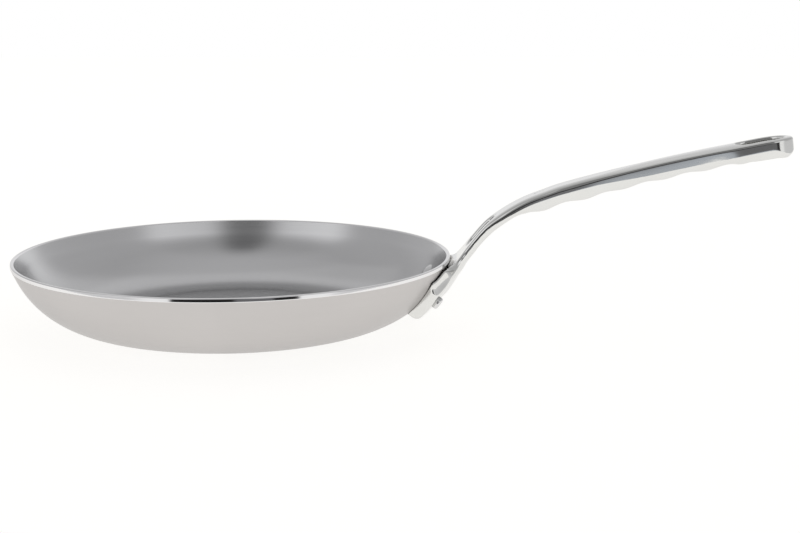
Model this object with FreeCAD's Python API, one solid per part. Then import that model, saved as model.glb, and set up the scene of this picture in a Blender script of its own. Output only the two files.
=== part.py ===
import FreeCAD, Part
import math
import os
from FreeCAD import Vector

# Omelette pan: a pressed steel bowl with a cast handle held by two rivets.
# Millimetres. Origin at the centre of the flat base, +Z up, handle along +X.

# Bowl: one sheet, measured on its outer face
rim_radius = 140.0
sheet = 3.0
corner_radius = 59.4        # round between flat base and wall
wall_flare = 25.3           # degrees of the wall away from vertical
straight_wall = 9.1         # length of straight wall above the round
rim_edge_round = 1.1

# Rivets, set side by side on the round of the wall
rivet_wall_angle = 54.0     # degrees round from the base to the rivets
rivet_half_spacing = 33.2   # from the handle's middle plane
shank_radius = 3.0
shank_clearance = 0.05      # radial, in wall and saddle
inner_head_radius = 6.2
inner_head_height = 2.2
outer_head_radius = 4.0
outer_head_height = 2.7
outer_head_round = 1.0

# Saddle: the handle's foot, bent round the wall
saddle_thickness = 7.0
saddle_half_width = 44.0
saddle_bottom_angle = 39.5  # degrees round from the base to its lower edge
saddle_seat_angle = 54.5    # degrees where its seat leaves the wall on a tangent
saddle_below_rim = 3.4      # its upper edge lies this far under the rim
saddle_edge = 1.8           # thickness left along the upper edge
scoop_above_rivet = 4.5     # degrees from the rivets up to the scoop
scoop_depth = 2.6           # hollow of the scoop under its chord
saddle_lower_corner = 8.0
saddle_upper_corner = 7.0
saddle_outer_round = 2.5    # on the edges of its outer face
seat_gap = 0.02             # between saddle and wall

# Handle: its upper face follows two tangent arcs that start on the wall
neck_leave_angle = 62.5     # degrees round from the base to the start of the arcs
neck_bend_radius = 112.3
grip_start_slope = 17.1     # degrees above level where the neck ends
grip_bend_radius = 1067.0
stem_start = -5.0           # along the arcs, buried in the saddle
grip_length = 153.8         # from the end of the neck to the tip
tip_corner_radius = 12.0

# Handle widths and depths, measured from the arcs
foot_width = 66.0
neck_width = 29.0
throat_width = 21.5
tip_width = 27.0
foot_depth = 6.6            # buried in the saddle
strap_depth = 8.6
grip_depth = 12.3           # over the finger bumps
foot_sink = 1.6             # upper face below the arcs at the foot
neck_sink = 3.0             # the same beside the neck hole
neck_dish = 1.0             # hollow of the upper face beside the neck hole
crown_drop = 1.2            # fall of the rounded upper face of the grip to its edges
edge_land = 0.8             # upright band under the upper edges

# Side faces: flat and nearly upright on the grip, hollow at the root of the neck
grip_face = 5.0
neck_face = 2.0
face_inset = 0.5            # how far each leans in towards the belly
root_hollow = 9.0

# Finger bumps along the belly
bump_count = 6
bump_pitch = 26.2
bump_height = 1.4
dip_share = 0.85            # share of the pitch that each dip takes
first_bump_from_neck = -6.5 # from the end of the neck to the first crest
grip_stations = 7           # outlines that shape the grip

# Openings through the handle
neck_hole_length = 25.0
neck_hole_width = 13.0
neck_hole_middle = 37.3     # along the upper face from the wall
hang_slot_length = 28.5
hang_slot_width = 14.0
hang_slot_to_tip = 4.8

# Values worked out from the sizes above
flare = math.radians(wall_flare)
base_radius = rim_radius - corner_radius * math.cos(flare) - straight_wall * math.sin(flare)
outer_rim_height = corner_radius * (1 - math.sin(flare)) + straight_wall * math.cos(flare)
rim_height = outer_rim_height + sheet * math.sin(flare)
neck_length = neck_bend_radius * math.radians(neck_leave_angle - grip_start_slope)
handle_length = neck_length + grip_length
hole_start = neck_hole_middle - neck_hole_length / 2
hole_end = neck_hole_middle + neck_hole_length / 2
touch = 0.01                # two places closer than this are the same
up = Vector(0, 0, 1)


def wall_point(angle, offset=0.0):
    """Point (r, z) at an angle round the corner, offset outwards from the outer face."""
    turn = math.radians(angle)
    r = base_radius + (corner_radius + offset) * math.sin(turn)
    z = corner_radius - (corner_radius + offset) * math.cos(turn)
    return r, z


def at(rz):
    """Profile point (r, z) in the plane of the handle."""
    return Vector(rz[0], 0, rz[1])


def line(a, b):
    return Part.LineSegment(a, b).toShape()


def arc(a, middle, b):
    return Part.Arc(a, middle, b).toShape()


def revolve(edges, degrees=360.0):
    return Part.Face(Part.Wire(edges)).revolve(Vector(), up, degrees)


def make_bowl(inner_offset):
    """Bowl of revolution from the outer face to a sheet thickness, or filled when there is none."""
    round_end = 90.0 - wall_flare
    outer = [at((base_radius, 0)), at(wall_point(round_end / 2)), at(wall_point(round_end))]
    rim_outer = Vector(rim_radius, 0, outer_rim_height)
    edges = [
        line(Vector(), outer[0]),
        arc(*outer),
        line(outer[2], rim_outer),
    ]
    if inner_offset:
        inner = [at(wall_point(angle, -inner_offset)) for angle in (round_end, round_end / 2, 0)]
        across = Vector(-inner_offset * math.cos(flare), 0, inner_offset * math.sin(flare))
        rim_inner = rim_outer + across
        floor = Vector(0, 0, inner_offset)
        edges += [line(rim_outer, rim_inner), line(rim_inner, inner[0]), arc(*inner)]
        edges += [line(inner[2], floor), line(floor, Vector())]
    else:
        middle = Vector(0, 0, outer_rim_height)
        edges += [line(rim_outer, middle), line(middle, Vector())]
    return revolve(edges)


def round_rim(bowl):
    low = outer_rim_height - touch
    rim_edges = [edge for edge in bowl.Edges if edge.BoundBox.ZMin > low and edge.Closed]
    return bowl.makeFillet(rim_edge_round, rim_edges)


def rivet_frame(side):
    """Foot of a rivet on the wall's outer face, and its outward direction."""
    r, z = wall_point(rivet_wall_angle)
    turn = side * math.asin(rivet_half_spacing / r)
    lean = math.radians(rivet_wall_angle)
    foot = Vector(r * math.cos(turn), r * math.sin(turn), z)
    outward = Vector(math.sin(lean) * math.cos(turn), math.sin(lean) * math.sin(turn), -math.cos(lean))
    return foot, outward


def shank(side, radius):
    foot, outward = rivet_frame(side)
    start = foot - outward * (sheet + inner_head_height / 2)
    length = sheet + saddle_thickness + inner_head_height / 2 + outer_head_height / 2
    return Part.makeCylinder(radius, length, start, outward)


def make_rivet(side, bowl, saddle):
    """Shank with a low dome inside the bowl and a round-edged head outside."""
    foot, outward = rivet_frame(side)
    inward = -outward
    dome_radius = (inner_head_radius ** 2 + inner_head_height ** 2) / (2 * inner_head_height)
    seat = foot + inward * sheet
    dome_middle = seat + inward * (inner_head_height - dome_radius)
    dome = Part.makeSphere(dome_radius, dome_middle)
    below_seat = seat - inward * (inner_head_height / 2)
    dome = dome.common(Part.makeCylinder(inner_head_radius, dome_radius, below_seat, inward))
    dome = dome.cut(bowl)

    head_start = foot + outward * (saddle_thickness / 2)
    head_length = saddle_thickness / 2 + outer_head_height
    head = Part.makeCylinder(outer_head_radius, head_length, head_start, outward)
    end = head_start + outward * head_length
    top_edges = [edge for edge in head.Edges if (edge.CenterOfMass - end).Length < touch]
    head = head.makeFillet(outer_head_round, top_edges).cut(saddle)
    rivet = shank(side, shank_radius).fuse([dome, head])
    return rivet.removeSplitter()


def make_saddle():
    """Curved foot: seated on the wall, full depth at the rivets, scooped out above them."""
    middle_angle = (saddle_bottom_angle + saddle_seat_angle) / 2
    scoop_angle = rivet_wall_angle + scoop_above_rivet
    pad_angle = (saddle_bottom_angle + scoop_angle) / 2
    lean = math.radians(saddle_seat_angle)
    leave = at(wall_point(saddle_seat_angle, seat_gap))
    climb = (rim_height - saddle_below_rim - leave.z) / math.sin(lean)
    top_inner = leave + Vector(math.cos(lean), 0, math.sin(lean)) * climb
    top_outer = top_inner + Vector(math.sin(lean), 0, -math.cos(lean)) * saddle_edge
    pad_top = at(wall_point(scoop_angle, saddle_thickness))
    chord = pad_top - top_outer
    hollow = Vector(chord.z, 0, -chord.x).normalize() * scoop_depth
    scoop_middle = (top_outer + pad_top) * 0.5 + hollow
    bottom_outer = at(wall_point(saddle_bottom_angle, saddle_thickness))
    bottom_inner = at(wall_point(saddle_bottom_angle, seat_gap))
    edges = [
        arc(bottom_inner, at(wall_point(middle_angle, seat_gap)), leave),
        line(leave, top_inner),
        line(top_inner, top_outer),
        arc(top_outer, scoop_middle, pad_top),
        arc(pad_top, at(wall_point(pad_angle, saddle_thickness)), bottom_outer),
        line(bottom_outer, bottom_inner),
    ]
    half_turn = math.degrees(math.asin(saddle_half_width / leave.x))
    saddle = revolve(edges, 2 * half_turn)
    saddle.rotate(Vector(), up, -half_turn)
    lower_corners = end_edges(saddle, bottom_inner, bottom_outer, half_turn)
    saddle = saddle.makeFillet(saddle_lower_corner, lower_corners)
    upper_corners = end_edges(saddle, top_inner, top_outer, half_turn)
    saddle = saddle.makeFillet(saddle_upper_corner, upper_corners)
    return round_outer_edges(saddle, pad_top)


def round_outer_edges(saddle, pad_top):
    """Soften the lower edge and both ends of the saddle's outer face."""
    pad_reach = corner_radius + saddle_thickness

    def on_pad(point):
        r = math.hypot(point.x, point.y)
        return abs(math.hypot(r - base_radius, point.z - corner_radius) - pad_reach) < touch

    def lies_on_pad(edge):
        middle = (edge.FirstParameter + edge.LastParameter) / 2
        places = (edge.FirstParameter, middle, edge.LastParameter)
        return all(on_pad(edge.valueAt(place)) for place in places)

    edges = [edge for edge in saddle.Edges if lies_on_pad(edge) and edge.BoundBox.ZMin < pad_top.z - touch]
    return saddle.makeFillet(saddle_outer_round, edges)


def end_edges(saddle, a, b, half_turn):
    """The two edges that a line of the saddle's profile leaves at the ends of its sweep."""
    middle = (a + b) * 0.5
    places = [turned(middle, side * half_turn) for side in (-1, 1)]
    return [edge for edge in saddle.Edges if any((edge.CenterOfMass - p).Length < touch for p in places)]


def turned(point, degrees):
    return FreeCAD.Rotation(up, degrees).multVec(point)


def spine(distance):
    """Point, slope and upward normal of the handle's arcs, along them from the wall."""
    start = at(wall_point(neck_leave_angle))
    neck_end = min(distance, neck_length)
    slope = math.radians(neck_leave_angle)
    point, slope = bend(start, slope, neck_bend_radius, neck_end)
    if distance > neck_length:
        point, slope = bend(point, slope, grip_bend_radius, distance - neck_length)
    return point, slope, Vector(-math.sin(slope), 0, math.cos(slope))


def bend(start, slope, radius, length):
    """Follow an arc that bends downwards."""
    end_slope = slope - length / radius
    x = start.x + radius * (math.sin(slope) - math.sin(end_slope))
    z = start.z + radius * (math.cos(end_slope) - math.cos(slope))
    return Vector(x, 0, z), end_slope


def smooth_curve(points):
    """Smooth curve through points, evenly timed so that neighbouring outlines match."""
    curve = Part.BSplineCurve()
    curve.interpolate(Points=points, Parameters=[float(i) for i in range(len(points))])
    return curve.toShape()


def wall_sag(y):
    """How far the round wall falls back beside the handle's middle plane."""
    r = wall_point(neck_leave_angle)[0]
    return (r - math.sqrt(r ** 2 - y ** 2)) * math.sin(math.radians(neck_leave_angle))


def section(distance, width, depth, sink, crown, face, root):
    """Closed outline across the handle: crowned top, side faces, round belly. Its root follows the wall."""
    point, _, normal = spine(distance)
    half = width / 2
    belly = half - face_inset
    face_top = -sink - crown - edge_land
    face_bottom = face_top - face

    def place(y, n):
        return point + Vector(0, y, 0) + normal * (n + root * wall_sag(y))

    def side_face(side, share):
        y = half - face_inset * share - root * root_hollow * math.sin(math.pi * share)
        return place(side * y, face_top - face * share)

    def round_belly(share):
        turn = math.pi * share
        return place(belly * math.cos(turn), face_bottom - (depth + face_bottom) * math.sin(turn))

    quarters = [i / 4 for i in range(5)]
    eighths = [i / 8 for i in range(9)]
    top = [place(half * (2 * share - 1), -sink - crown * (2 * share - 1) ** 2) for share in quarters]
    edges = [
        smooth_curve(top),
        line(top[-1], side_face(1, 0)),
        smooth_curve([side_face(1, share) for share in quarters]),
        smooth_curve([round_belly(share) for share in eighths]),
        smooth_curve([side_face(-1, share) for share in reversed(quarters)]),
        line(side_face(-1, 0), top[0]),
    ]
    return Part.Wire(edges)


def blend(start, end, share):
    """Ease from one value to another."""
    share = min(1.0, max(0.0, share))
    return start + (end - start) * share * share * (3 - 2 * share)


def root_section(share):
    """Outline between the start of the neck hole, share 0, and the foot in the saddle, share 1."""
    flare_share = share ** 2
    distance = hole_start + (stem_start - hole_start) * share
    width = neck_width + (foot_width - neck_width) * flare_share
    depth = strap_depth + (foot_depth - strap_depth) * flare_share
    sink = neck_sink + (foot_sink - neck_sink) * share
    return section(distance, width, depth, sink, -neck_dish * (1 - share), neck_face, flare_share)


def make_stem():
    """Neck and grip as one skin through outlines set across the handle's arcs."""
    throat_start_width = (neck_width + throat_width) / 2
    outlines = [root_section(share) for share in (1, 2 / 3, 1 / 3, 0)]
    outlines.append(section(neck_hole_middle, neck_width, strap_depth, neck_sink, -neck_dish, neck_face, 0))
    first_bump = neck_length + first_bump_from_neck
    grip_span = handle_length - hole_end
    for step in range(grip_stations + 1):
        share = step / grip_stations
        distance = hole_end + grip_span * share
        swell = (distance - hole_end) / (first_bump - hole_end)
        depth = blend(strap_depth, grip_depth, swell)
        width = blend(throat_start_width, throat_width, 3 * share)
        width += blend(0, tip_width - throat_width, share)
        sink = blend(neck_sink, 0, swell)
        crown = blend(-neck_dish, crown_drop, swell)
        face = blend(neck_face, grip_face, 2 * share)
        outlines.append(section(distance, width, depth, sink, crown, face, 0))
    return Part.makeLoft(outlines, True, False, False, 3)


def finger_dip(number):
    """Cutter for one shallow dip across the belly, between two finger bumps."""
    first_bump = neck_length + first_bump_from_neck
    point, _, normal = spine(first_bump + (number + 0.5) * bump_pitch)
    half_chord = bump_pitch * dip_share / 2
    radius = (half_chord ** 2 + bump_height ** 2) / (2 * bump_height)
    axis_point = point - normal * (grip_depth - bump_height + radius) - Vector(0, tip_width, 0)
    return Part.makeCylinder(radius, 2 * tip_width, axis_point, Vector(0, 1, 0))


def through_slot(middle, length, width):
    """Long round-ended cutter, square to the handle's upper face."""
    point, slope, normal = spine(middle)
    along = Vector(math.cos(slope), 0, math.sin(slope))
    reach = 2 * grip_depth
    half = length / 2 - width / 2
    low = point - normal * reach
    ends = [Part.makeCylinder(width / 2, 2 * reach, low + along * shift, normal) for shift in (-half, half)]
    corner = low - along * half - Vector(0, width / 2, 0)
    sides = [corner, corner + Vector(0, width, 0), corner + Vector(0, width, 0) + along * 2 * half,
             corner + along * 2 * half]
    block = Part.Face(Part.makePolygon(sides + [corner])).extrude(normal * 2 * reach)
    return block.fuse(ends)


def tip_corner(side):
    """What is cut away to round one corner of the tip, seen from above."""
    point, slope, normal = spine(handle_length)
    along = Vector(math.cos(slope), 0, math.sin(slope))
    reach = 2 * grip_depth
    across = Vector(0, side, 0)
    inwards = tip_width / 2 - tip_corner_radius
    middle = point - along * tip_corner_radius + across * inwards - normal * reach
    far = along * 2 * tip_corner_radius
    wide = across * 2 * tip_corner_radius
    block_sides = [middle, middle + far, middle + far + wide, middle + wide]
    block = Part.Face(Part.makePolygon(block_sides + [middle])).extrude(normal * 2 * reach)
    return block.cut(Part.makeCylinder(tip_corner_radius, 2 * reach, middle, normal))


def make_handle(saddle, bowl_volume):
    handle = make_stem().fuse(saddle)
    handle = handle.cut(bowl_volume)
    hang_slot_middle = handle_length - hang_slot_to_tip - hang_slot_length / 2
    cutters = [
        through_slot(neck_hole_middle, neck_hole_length, neck_hole_width),
        through_slot(hang_slot_middle, hang_slot_length, hang_slot_width),
        tip_corner(1),
        tip_corner(-1),
    ]
    cutters += [finger_dip(number) for number in range(bump_count - 1)]
    return handle.cut(cutters).removeSplitter()


def main():
    os.makedirs("parts", exist_ok=True)
    sides = {"rivet_left": 1, "rivet_right": -1}
    holes = [shank(side, shank_radius + shank_clearance) for side in sides.values()]
    bowl = round_rim(make_bowl(sheet))
    saddle = make_saddle()
    handle = make_handle(saddle, make_bowl(0.0))
    nodes = {"pan_body": bowl.cut(holes), "handle": handle.cut(holes)}
    for name, side in sides.items():
        nodes[name] = make_rivet(side, bowl, handle)
    for name, shape in nodes.items():
        solid = shape.Solids[0]
        print(name, len(shape.Solids), solid.isValid(), round(solid.Volume), solid.BoundBox)
        solid.exportStep("parts/" + name + ".step")


main()
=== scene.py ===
import math
import bpy
import numpy as np
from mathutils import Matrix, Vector


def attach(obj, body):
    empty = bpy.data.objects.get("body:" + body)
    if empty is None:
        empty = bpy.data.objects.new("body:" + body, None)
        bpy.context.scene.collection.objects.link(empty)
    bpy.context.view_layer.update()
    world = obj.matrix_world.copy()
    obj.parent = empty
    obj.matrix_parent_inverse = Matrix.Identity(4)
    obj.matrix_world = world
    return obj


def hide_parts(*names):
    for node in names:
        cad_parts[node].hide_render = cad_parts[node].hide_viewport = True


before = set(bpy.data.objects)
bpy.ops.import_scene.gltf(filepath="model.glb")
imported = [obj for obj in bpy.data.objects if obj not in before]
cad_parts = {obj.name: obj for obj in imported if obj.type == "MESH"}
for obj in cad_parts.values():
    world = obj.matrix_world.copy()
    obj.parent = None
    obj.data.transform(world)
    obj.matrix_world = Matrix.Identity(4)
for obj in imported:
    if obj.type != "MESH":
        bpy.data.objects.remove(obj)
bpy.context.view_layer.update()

# Bowl, in millimetres, with the rim's arcs as radius, first and last angle in degrees
MM = 0.001
rim_radius = 140.0
sheet = 3.0
corner_radius = 59.4
wall_flare = math.radians(25.3)
straight_wall = 9.9
inner_rim_round = 1.5
outer_rim_arcs = ((0.5, 0, 56), (18.0, 56, 60.5), (0.8, 60.5, 90))
base_radius = rim_radius - corner_radius * math.cos(wall_flare) - straight_wall * math.sin(wall_flare)
outer_rim_height = corner_radius * (1 - math.sin(wall_flare)) + straight_wall * math.cos(wall_flare)

# Rivet heads
rivet_angle = math.radians(54.0)
rivet_half_spacing = 33.2
inner_head_radius = 6.2
inner_head_height = 2.2
inner_head_foot = 0.9
inner_head_tip = 0.02
outer_head_radius = 4.0
outer_head_height = 2.7
outer_head_foot = 0.6
outer_head_edge = 1.3
outer_head_tip = 0.4
outer_head_rise = 0.15

# Saddle
saddle_thickness = 7.0
saddle_half_width = 44.0
saddle_bottom = math.radians(39.5)
saddle_seat = math.radians(54.5)
saddle_leave = math.radians(62.5)
saddle_climb = 8.6
saddle_edge = 1.5
saddle_corner = 8.0
scoop_radius = 24.0
scoop_up = 21.0
scoop_run = 6.0
scoop_border = 0.6
end_lean = 0.33
seat_gap = 0.03
seat_closing = 0.6
seat_open_half = 12.0
seat_fade = 22.0

# Neck and grip
neck_radius = 112.3
grip_slope = math.radians(17.1)
grip_radius = 1067.0
grip_length = 154.4
neck_length = neck_radius * (saddle_leave - grip_slope)
handle_length = neck_length + grip_length
tip_width = 26.8
tip_round = 15.5
belly_round = 5.5
belly_lead = 0.65
least_belly = 1.2
lip_drop = 0.3
face_round = 0.25
stem_start = -5.0
root_hollow = 5.0
root_end = 25.0
root_run = 30.0
neck_power = 8
grip_power = 2
neck_end = 100.0
neck_fade = 50.0

# Finger bumps, the hole in the neck and the hanging slot
bump_count = 6
bump_pitch = 26.2
bump_height = 1.3
bump_lead = 4.0
bump_fade = 6.0
bump_overlap = 6.5
first_bump = neck_length - bump_overlap
last_bump = first_bump + (bump_count - 1) * bump_pitch
neck_hole_length = 25.5
neck_hole_width = 11.5
neck_hole_middle = 37.0
slot_length = 30.2
slot_width = 16.0
slot_end_wall = 5.2
slot_middle = handle_length - slot_end_wall - slot_length / 2

# Forms along the handle: pairs of the way along it and the size there
half_width = (
    (-6, 22), (0, 17), (6, 14.5), (12, 13.8), (31, 13.2), (40, 12.9), (55, 12), (95, 10.8),
    (150, 11.2), (205, 12.9), (232, 13.3),
)
root_flare = ((-6, 2), (4, 7.3), (9, 6.5), (12, 4.8), (18, 2.4), (24, 1.0), (31, 0.3), (40, 0))
top_dip = (
    (-6, 1.7), (8, 2.2), (16, 2.3), (24, 2.1), (31, 1.75), (38, 1.1), (45, 0.6), (52, 0.5),
    (69, 0.5), (83, 0.7), (96, 0.1), (122, 0.2), (150, 0.1), (200, 0.1), (225, -0.3),
)
top_crown = (
    (-6, -0.1), (10, -0.2), (18, 0), (25, 0.2), (31, 0.3), (45, 0.8), (56, 1.5), (70, 1.5),
    (96, 1.8), (122, 1.5),
)
full_depth = (
    (-6, 6.8), (4, 8.2), (20, 9.3), (36, 8.8), (58, 8.4), (70, 10), (84, 13.1), (98, 13.1),
    (114, 13.8), (140, 13.5), (200, 13.5), (212, 14.8), (224, 15.9), (231, 15.8), (240, 13.4),
)
face_height = (
    (-6, 1.6), (6, 2), (22, 2.3), (45, 2.6), (68, 3.4), (93, 3.8), (117, 4.4), (143, 6.1),
    (170, 6.6), (195, 6.5), (213, 6), (250, 5.8),
)
face_tilt = (
    (0, 0), (100, 0), (120, 0.03), (145, 0.045), (170, 0.055), (185, 0.075), (195, 0.09),
    (200, 0.08), (208, 0.01), (214, 0), (250, 0),
)

# Widths of the rounded edges between the handle's forms
face_blend = 0.5
top_blend = 1.6
start_blend = 2.0
scoop_blend = 1.5
pad_blend = 3.5
scoop_sharpening = 2.3
pad_weight = 0.85
stem_blend = 6.0
neck_hole_blend = 2.0
slot_blend = 2.2
seat_blend = 0.4

# Grid on which the handle's surface is found, and its fit to the true surface
grid_start = -34.0
grid_fine_end = 46.0
grid_past_tip = 2.0
grid_fine = 0.5
grid_coarse = 0.8
grid_half_width = 46.75
grid_across = 0.55
grid_low = -16.65
grid_high = 8.6
grid_up = 0.43
fit_rounds = 5
fit_reach = 0.4
least_slope = 0.05

# Fineness of the turned pieces
bowl_sides = 288
floor_rows = 24
floor_start = 1.5
corner_rows = 64
rim_rows = 9
head_sides = 64
dome_rows = 16
button_rows = 8

# Steel: scales of its marks, shares of the mixed marks, depth of the marks in metres, edge tints
ring_fineness = 900.0
ring_length = 1.5
band_fineness = 120.0
band_length = 0.6
spun_cloud_scale = 14.0
spun_cloud_share = 0.6
polish_scale = (60, 700, 700)
cast_cloud_scale = 40.0
rough_share = 0.5
mark_depth = 0.0002
spun_tint = 0.8
cast_tint = 0.88

# Camera at the photograph's angle, in metres, pixels and degrees
photo_width = 800
focal_pixels = 1400
sensor_width = 36
camera_place = (0.14566, -0.88126, 0.20516)
camera_down = 10.863
camera_turn = 2.5

# Floor, in metres, with its glow to the camera and in reflections
floor_half_width = 3
floor_front = -0.37
floor_back = 4
floor_drop = 0.0002
floor_grey = (0.3, 0.3, 0.3)
floor_glow = (1, 0.99, 0.97)
seen_glow = 0.85
mirrored_glow = 0.92

# Back light, in metres and watts
light_place = (-0.6, 1.6, 1.9)
light_target = (0.05, 0, 0)
light_width = 2.4
light_height = 1.6
light_power = 1

# Studio by height, as pairs of the upward share of a direction and the grey there
back_levels = (
    (0.0, 1.0), (0.14, 1.0), (0.24, 0.96), (0.38, 0.82), (0.52, 0.7), (0.66, 0.63),
    (0.8, 0.6), (0.92, 0.57), (1.0, 0.57),
)
side_levels = (
    (0.0, 0.72), (0.2, 0.62), (0.4, 0.52), (0.66, 0.5), (0.8, 0.48), (0.92, 0.54), (1.0, 0.57),
)
front_levels = (
    (0.0, 0.7), (0.4, 1.0), (0.58, 1.0), (0.68, 0.68), (0.77, 0.44), (0.86, 0.43),
    (0.94, 0.5), (1.0, 0.57),
)
studio_coolness = 1.01

# Studio by side, in radians from the photograph's side, each span from where it starts to where it is full
side_span = (1.0, 1.3)
back_span = (2.45, 2.75)
patch_span = (0.44, 0.16)
patch_rise = (1.0, 0.9)
patch_darkening = (0.6, 0.85)
patch_low_grey = (0.22, 0.22, 0.222)
patch_high_grey = (0.135, 0.135, 0.137)
glint_middle = 0.19
glint_span = (1.0, 0.75)
glint_rise = (0.4, 0.2)
room_middle = 0.165
room_span = (0.58, 0.53)
room_rise = (0.42, 0.24)
room_foot = (-0.13, -0.22)
room_grey = (0.16, 0.16, 0.165)
room_foot_grey = (0.48, 0.51, 0.555)
core_middle = 0.02
core_rise = (0.13, 0.08)
core_left = (0.19, 0.13)
core_right = (0.48, 0.52)
core_grey = (0.02, 0.02, 0.02)
white = (1.0, 1.0, 1.0)


def smooth_max(a, b, k):
    """Greater of two fields, with a rounded edge about k wide."""
    h = np.maximum(k - np.abs(a - b), 0.0) / k
    return np.maximum(a, b) + h * h * k / 4


def smooth_min(a, b, k):
    """Lesser of two fields, with a rounded edge about k wide."""
    return -smooth_max(-a, -b, k)


def ease(x):
    """Smooth step from 0 to 1."""
    x = np.clip(x, 0.0, 1.0)
    return x * x * (3 - 2 * x)


def smooth_table(x, table):
    """Smooth curve through a few pairs of place and value that doesn't overshoot."""
    knots, values = np.array(table, float).T
    step = np.diff(knots)
    slope = np.diff(values) / step
    lean = np.zeros(len(knots))
    same = slope[:-1] * slope[1:] > 0
    near = 2 * step[1:] + step[:-1]
    far = step[1:] + 2 * step[:-1]
    mean = (near + far) / (near / np.where(same, slope[:-1], 1) + far / np.where(same, slope[1:], 1))
    lean[1:-1] = np.where(same, mean, 0.0)
    lean[0] = slope[0]
    lean[-1] = slope[-1]
    x = np.clip(x, knots[0], knots[-1])
    i = np.clip(np.searchsorted(knots, x) - 1, 0, len(step) - 1)
    t = (x - knots[i]) / step[i]
    start = values[i] + t * step[i] * lean[i]
    end = values[i + 1] + (t - 1) * step[i] * lean[i + 1]
    return start + (end - start) * ease(t)


def spine(s):
    """Point, slope and bend of the handle's upper face, followed down the wall where s is below 0."""
    on_neck = np.clip(s, 0, neck_length)
    on_grip = np.maximum(s - neck_length, 0)
    on_wall = np.minimum(s, 0)
    wall_turn = saddle_leave + on_wall / corner_radius
    neck_turn = saddle_leave - on_neck / neck_radius
    grip_turn = grip_slope - on_grip / grip_radius
    x = base_radius + corner_radius * np.sin(wall_turn)
    z = corner_radius - corner_radius * np.cos(wall_turn)
    x = x + neck_radius * (math.sin(saddle_leave) - np.sin(neck_turn))
    z = z + neck_radius * (np.cos(neck_turn) - math.cos(saddle_leave))
    x = x + grip_radius * (math.sin(grip_slope) - np.sin(grip_turn))
    z = z + grip_radius * (np.cos(grip_turn) - math.cos(grip_slope))
    slope = np.where(s < 0, wall_turn, np.where(s < neck_length, neck_turn, grip_turn))
    bend = np.where(s < 0, -1 / corner_radius, np.where(s < neck_length, 1 / neck_radius, 1 / grip_radius))
    return x, z, slope, bend


def to_space(s, y, n):
    """Place in the part's frame of a point along, across and above the spine."""
    x, z, slope, _ = spine(s)
    return x - n * np.sin(slope), y, z + n * np.cos(slope)


def stadium(s, y, middle, length, width):
    """Distance from the outline of a round-ended slot."""
    return np.hypot(np.maximum(np.abs(s - middle) - (length - width) / 2, 0), y) - width / 2


def stem_field(s, y, n):
    """Neck and grip: root that hugs the wall, flat neck, crowned grip, side faces, belly with bumps."""
    half = smooth_table(s, half_width)
    flare = smooth_table(s, root_flare)
    dip = smooth_table(s, top_dip)
    crown = smooth_table(s, top_crown)
    depth = smooth_table(s, full_depth)
    face = smooth_table(s, face_height)
    tilt = smooth_table(s, face_tilt)
    root = np.clip((root_end - s) / root_run, 0, 1) ** 2
    wall = base_radius + corner_radius * math.sin(saddle_leave)
    n = n - root * (wall - np.sqrt(wall ** 2 - y ** 2)) * math.sin(saddle_leave)

    # Upper face and the outlines of the tip
    fingers = ease((s - first_bump + bump_lead) / bump_fade) * ease((last_bump + bump_lead - s) / bump_fade)
    wave = 0.5 - 0.5 * np.cos(2 * math.pi * (s - first_bump) / bump_pitch)
    depth = depth - bump_height * wave * fingers
    out = np.hypot(y, np.maximum(s - handle_length + tip_round, 0) * tip_width / (2 * tip_round))
    under = np.hypot(y, np.maximum(s - handle_length + belly_round, 0) * tip_width / (2 * belly_round))
    power = neck_power - (neck_power - grip_power) * ease((s - neck_end) / neck_fade)
    top = n + dip + crown * (out / (half + flare)) ** power

    # Side faces, and the belly as part of an ellipse below them
    lip = dip + crown + lip_drop
    spread = flare * ease((n + lip + face) / root_hollow + 1)
    below = np.clip((-n - lip) / face, 0, 1)
    side = half - tilt * face * (below - face_round + face_round * np.exp(-below / face_round))
    edge = half - tilt * face * (1 - face_round)
    belly = -(lip + face)
    rest = np.maximum(depth + belly, least_belly)
    lead = belly_lead * rest
    tall = rest + lead
    wide = edge / math.sqrt(1 - (belly_lead / (1 + belly_lead)) ** 2)
    drop = np.maximum(belly + lead - n, 0) / tall
    over = np.maximum(under - spread, 0) / wide
    reach = np.sqrt(over ** 2 + drop ** 2) + 1e-6
    steep = np.sqrt((over / wide) ** 2 + (drop / tall) ** 2) + 1e-4
    body = smooth_max(out - spread - side, (reach - 1) * reach / steep, face_blend)
    field = smooth_max(top, body, top_blend)
    return smooth_max(field, stem_start - s, start_blend)


def wall_place(x, y, z):
    """Height off the wall's outer face, and way up it from where the saddle leaves the wall."""
    r = np.hypot(x, y)
    across = r - base_radius
    down = corner_radius - z
    turn = np.arctan2(across, down)
    away = np.hypot(across, down) - corner_radius
    way = corner_radius * (turn - saddle_leave)
    leave_r = corner_radius * math.sin(saddle_leave)
    leave_z = -corner_radius * math.cos(saddle_leave)
    along = (across - leave_r) * math.cos(saddle_leave) + (-down - leave_z) * math.sin(saddle_leave)
    off = (across - leave_r) * math.sin(saddle_leave) - (-down - leave_z) * math.cos(saddle_leave)
    above = along > 0
    return np.where(above, off, away), np.where(above, along, way)


def lift_off(way, y):
    """Gap between the wall and the saddle, whose seat leaves the wall on a tangent, most in the middle."""
    turn = saddle_leave - saddle_seat
    curved = (np.maximum(way + corner_radius * turn, 0)) ** 2 / (2 * corner_radius)
    gap = np.where(way < 0, curved, corner_radius * turn ** 2 / 2 + way * math.tan(turn))
    return gap * (1 - seat_closing * ease((np.abs(y) - seat_open_half) / seat_fade))


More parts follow.
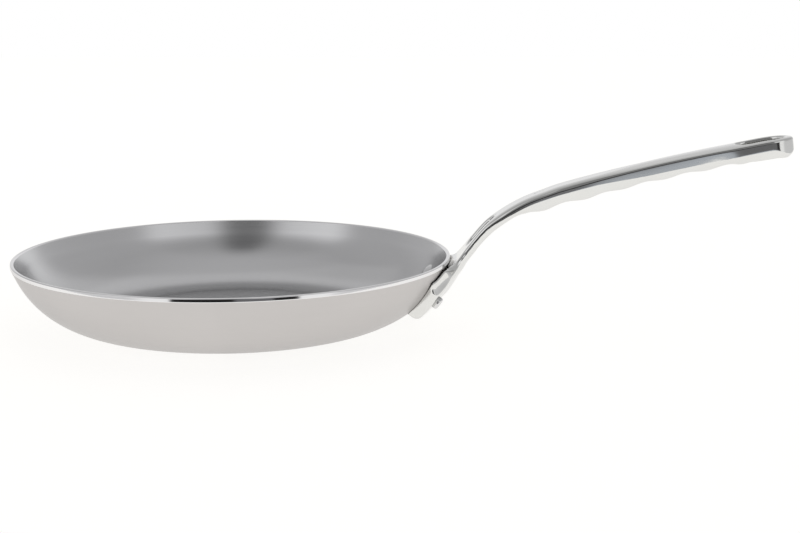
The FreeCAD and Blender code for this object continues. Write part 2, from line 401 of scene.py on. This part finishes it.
def saddle_field(x, y, away, way):
    """Foot of the handle: full depth round the rivets, scooped towards its thin upper edge."""
    bottom = corner_radius * (saddle_bottom - saddle_leave)
    reach = base_radius + corner_radius * math.sin(saddle_leave)
    turn = np.arctan2(y, x) * reach
    cut = scoop_radius - np.hypot(np.abs(turn) - saddle_half_width, way - scoop_up)
    scoop = np.clip((cut + np.hypot(cut, scoop_border)) / (2 * scoop_run), 0, 1)
    thick = lift_off(way, y) + saddle_edge
    thick = thick + (saddle_thickness - thick) * (1 - scoop) ** 2
    middle = (bottom + saddle_climb) / 2
    tall = (saddle_climb - bottom) / 2
    wide = reach * math.asin(saddle_half_width / reach)
    out_u = np.maximum(np.abs(turn) - wide + saddle_corner, 0)
    up = way + np.where(way < middle, end_lean * (saddle_thickness - away), 0)
    out_v = np.maximum(np.abs(up - middle) - tall + saddle_corner, 0)
    inner = np.minimum(np.maximum(np.abs(turn) - wide, np.abs(up - middle) - tall) + saddle_corner, 0)
    plan = smooth_max(np.hypot(out_u, out_v) + inner - saddle_corner, cut - scoop_run, scoop_blend)
    return smooth_max((away - thick) * pad_weight, plan, pad_blend - scoop_sharpening * scoop)


def handle_field(s, y, n):
    """Whole casting: negative inside, positive outside."""
    x, y, z = to_space(s, y, n)
    away, way = wall_place(x, y, z)
    neck_hole = stadium(s, y, neck_hole_middle, neck_hole_length, neck_hole_width)
    slot = stadium(s, y, slot_middle, slot_length, slot_width)
    field = smooth_min(stem_field(s, y, n), saddle_field(x, y, away, way), stem_blend)
    field = smooth_max(field, -neck_hole, neck_hole_blend)
    field = smooth_max(field, -slot, slot_blend)
    return smooth_max(field, seat_gap + lift_off(way, y) - away, seat_blend)


def surface_net(field, axes):
    """Quads round the zero level of a field on a grid, with one point in each cell that it crosses."""
    inside = field < 0
    cell = tuple(n - 1 for n in field.shape)
    corners = [(i, j, k) for i in (0, 1) for j in (0, 1) for k in (0, 1)]

    def part(a, c):
        return a[c[0]:c[0] + cell[0], c[1]:c[1] + cell[1], c[2]:c[2] + cell[2]]

    count = sum(part(inside, c).astype(np.int8) for c in corners)
    active = (count > 0) & (count < len(corners))
    where = np.argwhere(active)
    number = np.full(cell, -1)
    number[active] = np.arange(len(where))
    total = np.zeros((len(where), 3))
    hits = np.zeros(len(where))
    for a in corners:
        for axis in range(3):
            if a[axis]:
                continue
            b = tuple(1 if k == axis else a[k] for k in range(3))
            low = part(field, a)[active]
            high = part(field, b)[active]
            cross = (low < 0) != (high < 0)
            share = np.where(cross, low / np.where(cross, low - high, 1), 0)
            point = where + np.array(a) + share[:, None] * (np.array(b) - np.array(a))
            total += np.where(cross[:, None], point, 0)
            hits += cross
    place = total / hits[:, None]
    points = np.stack([np.interp(place[:, k], np.arange(len(axes[k])), axes[k]) for k in range(3)], 1)
    quads = []
    for axis in range(3):
        one, two = [(1, 2), (2, 0), (0, 1)][axis]
        low = np.take(inside, range(0, field.shape[axis] - 1), axis)
        high = np.take(inside, range(1, field.shape[axis]), axis)
        edge = np.argwhere(low != high)
        edge = edge[(edge[:, one] > 0) & (edge[:, two] > 0)]
        edge = edge[(edge[:, one] < cell[one]) & (edge[:, two] < cell[two])]
        flip = low[tuple(edge.T)]
        ring = []
        for da, db in ((-1, -1), (0, -1), (0, 0), (-1, 0)):
            near = edge.copy()
            near[:, one] += da
            near[:, two] += db
            ring.append(number[tuple(near.T)])
        quad = np.stack(ring, 1)
        quads.append(np.where(flip[:, None], quad, quad[:, ::-1]))
    return points, np.concatenate(quads)


def slope_of(points, step=0.02):
    """Value and slope of the handle's field along its own axes."""
    value = handle_field(*points.T)
    slope = []
    for k in range(3):
        shift = np.zeros(3)
        shift[k] = step
        slope.append((handle_field(*(points + shift).T) - handle_field(*(points - shift).T)) / (2 * step))
    return value, np.stack(slope, 1)


def link(item):
    """Put an object into the scene."""
    bpy.context.scene.collection.objects.link(item)


def make_object(name, points, faces, material, normals=None):
    """Smooth-shaded mesh object from points in millimetres."""
    mesh = bpy.data.meshes.new(name)
    mesh.from_pydata([tuple(p) for p in points * MM], [], [tuple(f) for f in faces])
    mesh.update()
    mesh.polygons.foreach_set("use_smooth", [True] * len(mesh.polygons))
    if normals is not None:
        mesh.normals_split_custom_set_from_vertices([tuple(v) for v in normals])
    piece = bpy.data.objects.new(name, mesh)
    link(piece)
    mesh.materials.append(material)
    return piece


def make_handle(material):
    """Casting as a net on a grid, moved onto the true surface, with the normals of that surface."""
    fine = np.arange(grid_start, grid_fine_end, grid_fine)
    coarse = np.arange(grid_fine_end, handle_length + grid_past_tip, grid_coarse)
    axes = [
        np.concatenate([fine, coarse]),
        np.arange(-grid_half_width, grid_half_width + grid_across / 2, grid_across),
        np.arange(grid_low, grid_high, grid_up),
    ]
    grid = np.meshgrid(*axes, indexing="ij")
    points, faces = surface_net(handle_field(*grid), axes)
    for _ in range(fit_rounds):
        value, slope = slope_of(points)
        step = value[:, None] * slope / np.maximum((slope ** 2).sum(1), least_slope)[:, None]
        points = points - np.clip(step, -fit_reach, fit_reach)
    _, slope = slope_of(points)
    _, _, lean, bend = spine(points[:, 0])
    along = slope[:, 0] / (1 + bend * points[:, 2])
    normal = np.stack([
        along * np.cos(lean) - slope[:, 2] * np.sin(lean),
        slope[:, 1],
        along * np.sin(lean) + slope[:, 2] * np.cos(lean),
    ], 1)
    normal /= np.linalg.norm(normal, axis=1)[:, None]
    return make_object("handle_cast", np.stack(to_space(*points.T), 1), faces, material, normal)


def arc_points(middle, radius, start, end, count, sign):
    """Points (r, z) round an arc, with their normals, which point away from its middle if sign is 1."""
    turn = np.linspace(start, end, count)
    ray = np.stack([np.sin(turn), -np.cos(turn)], 1)
    return np.array(middle) + radius * ray, sign * ray


def revolved(profile, count):
    """Points and faces of a profile (r, z) turned about the z axis, with a cap at either end."""
    turn = np.linspace(0, 2 * math.pi, count, endpoint=False)
    points = [np.stack([r * np.cos(turn), r * np.sin(turn), np.full(count, z)], 1) for r, z in profile]
    faces = []
    for row in range(len(profile) - 1):
        for k in range(count):
            a = row * count + k
            b = row * count + (k + 1) % count
            faces.append((a, b, b + count, a + count))
    last = (len(profile) - 1) * count
    faces.append(tuple(range(count - 1, -1, -1)))
    faces.append(tuple(range(last, last + count)))
    return np.concatenate(points), faces


def rim_points(outer_top, across, up):
    """Rounded rim from the inner to the outer face, with an almost upright band on its outer side."""
    outer_width = 0.0
    for radius, start, end in outer_rim_arcs:
        outer_width += radius * (math.sin(math.radians(end)) - math.sin(math.radians(start)))
    steps = []
    places = []
    place = np.array([-sheet, -inner_rim_round])
    for radius, start, end in ((inner_rim_round, -90, 0),) + outer_rim_arcs:
        if start == 0:
            place = np.array([-outer_width, 0.0])
        turn = np.radians(np.linspace(start, end, rim_rows))
        ray = np.stack([np.sin(turn), np.cos(turn)], 1)
        run = place + radius * (ray - ray[0])
        place = run[-1]
        doubled = 1 if start > 0 else 0
        places.append(run[doubled:])
        steps.append(ray[doubled:])
    spread = np.stack([across, up])
    return outer_top + np.concatenate(places) @ spread, np.concatenate(steps) @ spread


def make_pan(materials):
    """Bowl from the middle of its floor over the rim to the middle of its base."""
    round_end = math.pi / 2 - wall_flare
    middle = (base_radius, corner_radius)
    across = np.array([math.cos(wall_flare), -math.sin(wall_flare)])
    up = np.array([math.sin(wall_flare), math.cos(wall_flare)])
    outer_top = np.array([rim_radius, outer_rim_height])
    floor_steps = np.linspace(floor_start, base_radius, floor_rows)[:-1]
    level = np.ones_like(floor_steps)
    runs = [
        (np.stack([floor_steps, sheet * level], 1), np.stack([0 * level, level], 1)),
        arc_points(middle, corner_radius - sheet, 0, round_end, corner_rows, -1),
        rim_points(outer_top, across, up),
        arc_points(middle, corner_radius, round_end, 0, corner_rows, 1),
        (np.stack([floor_steps[::-1], 0 * level], 1), np.stack([0 * level, -level], 1)),
    ]
    profile = np.concatenate([run[0] for run in runs])
    lie = np.concatenate([run[1] for run in runs])
    points, faces = revolved(profile, bowl_sides)
    turn = np.tile(np.linspace(0, 2 * math.pi, bowl_sides, endpoint=False), len(profile))
    flat = np.repeat(lie[:, 0], bowl_sides)
    rise = np.repeat(lie[:, 1], bowl_sides)
    normals = np.stack([flat * np.cos(turn), flat * np.sin(turn), rise], 1)
    pan = make_object("pan_bowl", points, [f[::-1] for f in faces], materials[0], normals)
    for material in materials[1:]:
        pan.data.materials.append(material)

    # Materials by row: inside, rim and outside, with the two caps last
    rim_start = len(runs[0][0]) + len(runs[1][0])
    rim_end = rim_start + len(runs[2][0]) - 1
    rows = np.arange(len(faces)) // bowl_sides
    rows[-2:] = 0, len(profile)
    index = np.where(rows >= rim_end, 2, np.where(rows >= rim_start, 1, 0))
    pan.data.polygons.foreach_set("material_index", index.astype(np.int32))
    return pan


def make_head(name, side, profile, foot, material):
    """Rivet head: a profile (r, height) turned about the rivet's own line."""
    points, faces = revolved(profile, head_sides)
    r = base_radius + corner_radius * math.sin(rivet_angle)
    z = corner_radius * (1 - math.cos(rivet_angle))
    turn = side * math.asin(rivet_half_spacing / r)
    outward = np.array([
        math.sin(rivet_angle) * math.cos(turn),
        math.sin(rivet_angle) * math.sin(turn),
        -math.cos(rivet_angle),
    ])
    across = np.array([-math.sin(turn), math.cos(turn), 0])
    start = np.array([r * math.cos(turn), r * math.sin(turn), z]) + outward * foot
    way = outward if foot > 0 else -outward
    third = np.cross(way, across)
    placed = start + points[:, :1] * across + points[:, 1:2] * third + points[:, 2:] * way
    return make_object(name, placed, faces, material)


def dome_profile():
    """Low dome of the head inside the bowl, with its foot in the wall."""
    radius = (inner_head_radius ** 2 + inner_head_height ** 2) / (2 * inner_head_height)
    spread = math.asin(inner_head_radius / radius)
    rows = [(inner_head_radius, -inner_head_foot)]
    for turn in np.linspace(spread, inner_head_tip, dome_rows):
        rows.append((radius * math.sin(turn), radius * math.cos(turn) - radius + inner_head_height))
    return rows


def button_profile():
    """Small button of the head outside, with a rounded edge and its foot in the saddle."""
    edge = outer_head_edge
    rows = [(outer_head_radius, -outer_head_foot)]
    for turn in np.linspace(0, math.pi / 2, button_rows):
        r = outer_head_radius - edge + edge * math.cos(turn)
        rows.append((r, outer_head_height - edge + edge * math.sin(turn)))
    rows.append((outer_head_tip, outer_head_height + outer_head_rise))
    return rows


class Nodes:
    """Small helper that adds and joins the nodes of a material or world."""

    def __init__(self, owner):
        owner.use_nodes = True
        self.tree = owner.node_tree

    def add(self, kind, **values):
        node = self.tree.nodes.new(kind)
        for name, value in values.items():
            setattr(node, name, value)
        return node

    def feed(self, socket, value):
        """Set a number or a colour on a socket, or join an output to it."""
        if isinstance(value, tuple):
            socket.default_value = (*value, 1)
        elif isinstance(value, (int, float)):
            socket.default_value = value
        else:
            self.tree.links.new(value, socket)

    def math(self, operation, *values):
        node = self.add("ShaderNodeMath", operation=operation)
        for socket, value in zip(node.inputs, values):
            self.feed(socket, value)
        return node.outputs[0]

    def weigh(self, a, share, b):
        """Sum of two outputs, of which the first has this share."""
        return self.math("ADD", self.math("MULTIPLY", a, share), self.math("MULTIPLY", b, 1 - share))

    def away(self, source, middle):
        """Distance of an output from a middle value."""
        return self.math("ABSOLUTE", self.math("ADD", source, -middle))

    def split(self, vector):
        node = self.add("ShaderNodeSeparateXYZ")
        self.feed(node.inputs[0], vector)
        return node.outputs

    def spread(self, source, low, high):
        """Output from 0 to 1 spread between two values."""
        node = self.add("ShaderNodeMapRange")
        self.feed(node.inputs["Value"], source)
        self.feed(node.inputs["To Min"], low)
        self.feed(node.inputs["To Max"], high)
        return node.outputs["Result"]

    def step(self, source, span):
        """Smooth step from 0 at the start of a span to 1 at its end."""
        node = self.add("ShaderNodeMapRange", interpolation_type="SMOOTHSTEP")
        self.feed(node.inputs["Value"], source)
        self.feed(node.inputs["From Min"], span[0])
        self.feed(node.inputs["From Max"], span[1])
        return node.outputs["Result"]

    def mix(self, share, a, b):
        node = self.add("ShaderNodeMix", data_type="RGBA")
        self.feed(node.inputs["Factor"], share)
        self.feed(node.inputs["A"], a)
        self.feed(node.inputs["B"], b)
        return node.outputs["Result"]

    def ramp(self, source, stops):
        """Colour ramp through pairs of place and colour."""
        node = self.add("ShaderNodeValToRGB")
        points = node.color_ramp.elements
        while len(points) < len(stops):
            points.new(0.5)
        for point, (place, colour) in zip(points, stops):
            point.position = place
            point.color = (*colour, 1)
        self.feed(node.inputs[0], source)
        return node.outputs[0]

    def levels(self, source, stops):
        """Grey ramp through pairs of place and level."""
        return self.ramp(source, [(place, (grey, grey, grey * studio_coolness)) for place, grey in stops])

    def noise(self, vector, scale, detail):
        node = self.add("ShaderNodeTexNoise")
        self.feed(node.inputs["Scale"], scale)
        self.feed(node.inputs["Detail"], detail)
        self.feed(node.inputs["Vector"], vector)
        return node.outputs[0]

    def ring_noise(self, r, turn, z, fineness, length):
        """Noise drawn out into rings round the pan's axis."""
        place = self.add("ShaderNodeCombineXYZ")
        self.feed(place.inputs[0], self.math("MULTIPLY", r, fineness))
        self.feed(place.inputs[1], self.math("MULTIPLY", turn, length))
        self.feed(place.inputs[2], self.math("MULTIPLY", z, fineness))
        return self.noise(place.outputs[0], 1.0, detail=2.0)

    def steel(self, colour, rough, tint, marks, bump):
        """Bare metal with fine marks as a faint bump."""
        relief = self.add("ShaderNodeBump")
        self.feed(relief.inputs["Strength"], bump)
        self.feed(relief.inputs["Distance"], mark_depth)
        self.feed(relief.inputs["Height"], marks)
        shader = self.tree.nodes["Principled BSDF"]
        self.feed(shader.inputs["Base Color"], colour)
        self.feed(shader.inputs["Roughness"], rough)
        self.feed(shader.inputs["Metallic"], 1.0)
        self.feed(shader.inputs["Specular Tint"], (tint, tint, tint))
        self.feed(shader.inputs["Normal"], relief.outputs["Normal"])


def spun_steel(name, dark, light, rough, bump):
    """Satin steel with faint rings left by spinning, and soft cloudiness."""
    material = bpy.data.materials.new(name)
    n = Nodes(material)
    place = n.add("ShaderNodeTexCoord").outputs["Object"]
    x, y, z = n.split(place)
    r = n.math("SQRT", n.math("ADD", n.math("MULTIPLY", x, x), n.math("MULTIPLY", y, y)))
    turn = n.math("ARCTAN2", y, x)
    fine = n.ring_noise(r, turn, z, ring_fineness, ring_length)
    broad = n.ring_noise(r, turn, z, band_fineness, band_length)
    cloud = n.noise(place, spun_cloud_scale, detail=3.0)
    colour = n.ramp(n.weigh(cloud, spun_cloud_share, broad), ((0, dark), (1, light)))
    n.steel(colour, n.spread(n.weigh(fine, rough_share, broad), *rough), spun_tint, fine, bump)
    return material


def cast_steel(name, dark, light, rough, bump):
    """Polished cast steel with a soft unevenness and fine polishing marks along it."""
    material = bpy.data.materials.new(name)
    n = Nodes(material)
    place = n.add("ShaderNodeTexCoord").outputs["Object"]
    stretch = n.add("ShaderNodeMapping")
    stretch.inputs["Scale"].default_value = polish_scale
    n.feed(stretch.inputs["Vector"], place)
    marks = n.noise(stretch.outputs[0], 1.0, detail=2.0)
    cloud = n.noise(place, cast_cloud_scale, detail=2.0)
    colour = n.ramp(cloud, ((0, dark), (1, light)))
    n.steel(colour, n.spread(n.weigh(marks, rough_share, cloud), *rough), cast_tint, marks, bump)
    return material


# Materials
inner_steel = spun_steel(
    "pan_inside_steel",
    dark=(0.585, 0.585, 0.59),
    light=(0.645, 0.645, 0.65),
    rough=(0.18, 0.26),
    bump=0.05,
)
rim_steel = spun_steel(
    "pan_rim_steel",
    dark=(0.74, 0.735, 0.74),
    light=(0.82, 0.815, 0.82),
    rough=(0.05, 0.09),
    bump=0.02,
)
outer_steel = spun_steel(
    "pan_outside_steel",
    dark=(0.555, 0.535, 0.525),
    light=(0.605, 0.585, 0.575),
    rough=(0.26, 0.36),
    bump=0.05,
)
handle_steel = cast_steel(
    "handle_polished_steel",
    dark=(0.69, 0.69, 0.675),
    light=(0.75, 0.75, 0.735),
    rough=(0.07, 0.14),
    bump=0.03,
)
rivet_steel = cast_steel(
    "rivet_polished_steel",
    dark=(0.66, 0.66, 0.66),
    light=(0.74, 0.74, 0.74),
    rough=(0.18, 0.28),
    bump=0.02,
)

# Pieces
pan = make_pan([inner_steel, rim_steel, outer_steel])
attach(pan, "root")
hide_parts("pan_body")
handle = make_handle(handle_steel)
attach(handle, "root")
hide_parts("handle")
for word, side in (("left", 1), ("right", -1)):
    dome = make_head("rivet_dome_" + word, side, dome_profile(), -sheet, rivet_steel)
    button = make_head("rivet_button_" + word, side, button_profile(), saddle_thickness, rivet_steel)
    for piece in (dome, button):
        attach(piece, "root")
    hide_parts("rivet_" + word)

# Camera
camera_data = bpy.data.cameras.new("camera")
camera_data.sensor_width = sensor_width
camera_data.lens = focal_pixels / photo_width * sensor_width
camera = bpy.data.objects.new("camera", camera_data)
camera.location = camera_place
camera.rotation_euler = (math.radians(90 - camera_down), 0, math.radians(camera_turn))
link(camera)
bpy.context.scene.camera = camera

# Floor: white to the camera and in reflections, with the pan's soft shadow
floor_corners = [
    (-floor_half_width, floor_front, 0),
    (floor_half_width, floor_front, 0),
    (floor_half_width, floor_back, 0),
    (-floor_half_width, floor_back, 0),
]
floor_mesh = bpy.data.meshes.new("floor")
floor_mesh.from_pydata(floor_corners, [], [(0, 1, 2, 3)])
floor = bpy.data.objects.new("floor", floor_mesh)
floor.location.z = -floor_drop
link(floor)
paper = bpy.data.materials.new("floor_paper")
paper_nodes = Nodes(paper)
paper_shader = paper_nodes.tree.nodes["Principled BSDF"]
path = paper_nodes.add("ShaderNodeLightPath").outputs
seen = paper_nodes.math("MULTIPLY", path["Is Camera Ray"], seen_glow)
glow = paper_nodes.math("MULTIPLY_ADD", path["Is Glossy Ray"], mirrored_glow, seen)
paper_nodes.feed(paper_shader.inputs["Base Color"], floor_grey)
paper_nodes.feed(paper_shader.inputs["Roughness"], 1.0)
paper_nodes.feed(paper_shader.inputs["Specular IOR Level"], 0.0)
paper_nodes.feed(paper_shader.inputs["Emission Color"], floor_glow)
paper_nodes.feed(paper_shader.inputs["Emission Strength"], glow)
floor_mesh.materials.append(paper)

# World: white to the camera. To the object, a white studio with a dark room behind the camera.
world = bpy.data.worlds.new("studio")
bpy.context.scene.world = world
w = Nodes(world)
way = w.split(w.add("ShaderNodeTexCoord").outputs["Generated"])
rise = way["Z"]
aside = w.math("ARCTAN2", way["X"], w.math("MULTIPLY", way["Y"], -1.0))
turned = w.math("ABSOLUTE", aside)

# Front of the studio, with a dark patch high up and a bright band low down
patch = w.mix(w.step(rise, patch_darkening), patch_low_grey, patch_high_grey)
in_patch = w.math("MULTIPLY", w.step(turned, patch_span), w.step(rise, patch_rise))
in_glint = w.math("MULTIPLY", w.step(w.away(aside, glint_middle), glint_span), w.step(rise, glint_rise))
front = w.mix(in_patch, w.levels(rise, front_levels), patch)
front = w.mix(in_glint, front, white)

# Sides and back of the studio
sides = w.mix(w.step(turned, side_span), front, w.levels(rise, side_levels))
studio = w.mix(w.step(turned, back_span), sides, w.levels(rise, back_levels))

# Dark room behind the camera
in_room = w.math("MULTIPLY", w.step(w.away(aside, room_middle), room_span), w.step(rise, room_rise))
beside_core = w.math("MAXIMUM", w.step(aside, core_left), w.step(aside, core_right))
in_core = w.math("MULTIPLY", w.step(w.away(rise, core_middle), core_rise), beside_core)
room = w.mix(w.step(rise, room_foot), room_grey, room_foot_grey)
room = w.mix(in_core, room, core_grey)
studio = w.mix(in_room, studio, room)
to_camera = w.add("ShaderNodeLightPath").outputs["Is Camera Ray"]
background = w.tree.nodes["Background"]
w.feed(background.inputs["Color"], w.mix(to_camera, studio, white))
w.feed(background.inputs["Strength"], 1.0)

# Back light: a large soft box behind the pan
light = bpy.data.lights.new("back_light", "AREA")
light.shape = "RECTANGLE"
light.size = light_width
light.size_y = light_height
light.energy = light_power
lamp = bpy.data.objects.new("back_light", light)
lamp.location = light_place
lamp.rotation_euler = (Vector(light_target) - Vector(light_place)).to_track_quat("-Z", "Y").to_euler()
link(lamp)

bpy.context.scene.view_settings.view_transform = "Standard"
